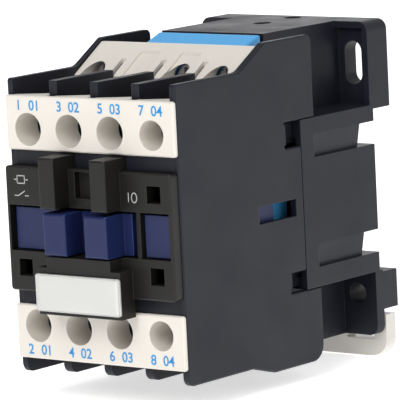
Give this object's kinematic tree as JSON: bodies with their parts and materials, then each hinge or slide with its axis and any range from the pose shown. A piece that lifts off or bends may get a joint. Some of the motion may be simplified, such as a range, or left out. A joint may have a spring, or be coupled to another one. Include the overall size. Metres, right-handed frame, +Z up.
{
  "type": "din rail contactor",
  "caption": "Compact rail-mounted power contactor with screw terminals behind white covers, a spring-returned moving contact carrier and a sprung rail clip.",
  "frame": {"origin": "centre of the rear seat face, where the device bears on the rail, on the rail's centre line", "axes": "+X to the right seen from the front, +Y back towards the rail and the panel, +Z up along the line-to-load direction, line terminals at the top"},
  "size_m": [0.045, 0.0818, 0.0737],
  "materials": {
    "housing_plastic": "satin moulded charcoal",
    "panel_plastic": "satin moulded black",
    "cover_plastic": "satin moulded white",
    "marker_plastic": "semi-gloss white",
    "carrier_plastic": "satin moulded dark blue",
    "bobbin_plastic": "semi-gloss bright blue",
    "clip_plastic": "natural off-white",
    "core_steel": "ground laminated electrical steel",
    "retainer_steel": "bright strip steel",
    "spring_steel": "drawn spring wire",
    "plated_steel": "zinc plated",
    "terminal_brass": "stamped brass strip",
    "bridge_copper": "stamped copper alloy",
    "copper_wire": "enamelled copper wire",
    "copper_ring": "bright copper",
    "cushion_rubber": "black moulded rubber"
  },
  "bodies": {
    "root": {"base": "housing_plastic", "contact_housing": "housing_plastic", "front_panel": "panel_plastic", "upper_terminal_cover": "cover_plastic", "lower_terminal_cover": "cover_plastic", "coil_terminal_cover": "cover_plastic", "marker_plate": "marker_plastic", "coil_bobbin": "bobbin_plastic", "coil_winding": "copper_wire", "shading_rings": "copper_ring", "fixed_core": "core_steel", "core_cushion": "cushion_rubber", "return_spring": "spring_steel", "clip_springs": "spring_steel", "coil_terminals": "terminal_brass", "line_contact_1": "terminal_brass", "load_contact_1": "terminal_brass", "line_contact_2": "terminal_brass", "load_contact_2": "terminal_brass", "line_contact_3": "terminal_brass", "load_contact_3": "terminal_brass", "line_contact_4": "terminal_brass", "load_contact_4": "terminal_brass"},
    "carrier": {"contact_carrier": "carrier_plastic", "armature": "core_steel", "armature_retainer": "retainer_steel", "contact_spring_1": "spring_steel", "contact_spring_2": "spring_steel", "contact_spring_3": "spring_steel", "contact_spring_4": "spring_steel"},
    "rail_clip": {"rail_clip": "clip_plastic"},
    "bridge_1": {"bridge_contact_1": "bridge_copper"},
    "bridge_2": {"bridge_contact_2": "bridge_copper"},
    "bridge_3": {"bridge_contact_3": "bridge_copper"},
    "bridge_4": {"bridge_contact_4": "bridge_copper"},
    "screw_1": {"terminal_screw_1": "plated_steel", "terminal_clamp_1": "plated_steel"},
    "screw_2": {"terminal_screw_2": "plated_steel", "terminal_clamp_2": "plated_steel"},
    "screw_3": {"terminal_screw_3": "plated_steel", "terminal_clamp_3": "plated_steel"},
    "screw_4": {"terminal_screw_4": "plated_steel", "terminal_clamp_4": "plated_steel"},
    "screw_5": {"terminal_screw_5": "plated_steel", "terminal_clamp_5": "plated_steel"},
    "screw_6": {"terminal_screw_6": "plated_steel", "terminal_clamp_6": "plated_steel"},
    "screw_7": {"terminal_screw_7": "plated_steel", "terminal_clamp_7": "plated_steel"},
    "screw_8": {"terminal_screw_8": "plated_steel", "terminal_clamp_8": "plated_steel"},
    "coil_screw_1": {"coil_screw_1": "plated_steel"},
    "coil_screw_2": {"coil_screw_2": "plated_steel"},
    "coil_screw_3": {"coil_screw_3": "plated_steel"}
  },
  "joints": [
    {"name": "carrier_slide", "type": "slide", "parent": "root", "child": "carrier", "axis": [0, 1, 0], "range_m": [0, 0.0055], "stiffness_N_per_m": 400, "springref_m": -0.006, "deforming": ["return_spring"]},
    {"name": "bridge_1_slide", "type": "slide", "parent": "carrier", "child": "bridge_1", "axis": [0, 1, 0], "range_m": [-0.002, 0], "deforming": ["contact_spring_1"]},
    {"name": "bridge_2_slide", "type": "slide", "parent": "carrier", "child": "bridge_2", "axis": [0, 1, 0], "range_m": [-0.002, 0], "deforming": ["contact_spring_2"]},
    {"name": "bridge_3_slide", "type": "slide", "parent": "carrier", "child": "bridge_3", "axis": [0, 1, 0], "range_m": [-0.002, 0], "deforming": ["contact_spring_3"]},
    {"name": "bridge_4_slide", "type": "slide", "parent": "carrier", "child": "bridge_4", "axis": [0, 1, 0], "range_m": [-0.002, 0], "deforming": ["contact_spring_4"]},
    {"name": "screw_1_slide", "type": "slide", "parent": "root", "child": "screw_1", "axis": [0, 1, 0], "range_m": [0, 0.003]},
    {"name": "screw_2_slide", "type": "slide", "parent": "root", "child": "screw_2", "axis": [0, 1, 0], "range_m": [0, 0.003]},
    {"name": "screw_3_slide", "type": "slide", "parent": "root", "child": "screw_3", "axis": [0, 1, 0], "range_m": [0, 0.003]},
    {"name": "screw_4_slide", "type": "slide", "parent": "root", "child": "screw_4", "axis": [0, 1, 0], "range_m": [0, 0.003]},
    {"name": "screw_5_slide", "type": "slide", "parent": "root", "child": "screw_5", "axis": [0, 1, 0], "range_m": [0, 0.003]},
    {"name": "screw_6_slide", "type": "slide", "parent": "root", "child": "screw_6", "axis": [0, 1, 0], "range_m": [0, 0.003]},
    {"name": "screw_7_slide", "type": "slide", "parent": "root", "child": "screw_7", "axis": [0, 1, 0], "range_m": [0, 0.003]},
    {"name": "screw_8_slide", "type": "slide", "parent": "root", "child": "screw_8", "axis": [0, 1, 0], "range_m": [0, 0.003]},
    {"name": "coil_screw_1_slide", "type": "slide", "parent": "root", "child": "coil_screw_1", "axis": [0, 1, 0], "range_m": [0, 0.0008]},
    {"name": "coil_screw_2_slide", "type": "slide", "parent": "root", "child": "coil_screw_2", "axis": [0, 1, 0], "range_m": [0, 0.0008]},
    {"name": "coil_screw_3_slide", "type": "slide", "parent": "root", "child": "coil_screw_3", "axis": [0, 1, 0], "range_m": [0, 0.0008]},
    {"name": "rail_clip_slide", "type": "slide", "parent": "root", "child": "rail_clip", "axis": [0, 0, -1], "range_m": [0, 0.0035], "stiffness_N_per_m": 600, "springref_m": -0.003, "deforming": ["clip_springs"]}
  ],
  "couplings": [
    {"joint": "bridge_1_slide", "follows": "carrier_slide", "ratio": -0.36364},
    {"joint": "bridge_2_slide", "follows": "carrier_slide", "ratio": -0.36364},
    {"joint": "bridge_3_slide", "follows": "carrier_slide", "ratio": -0.36364},
    {"joint": "bridge_4_slide", "follows": "carrier_slide", "ratio": -0.36364}
  ]
}
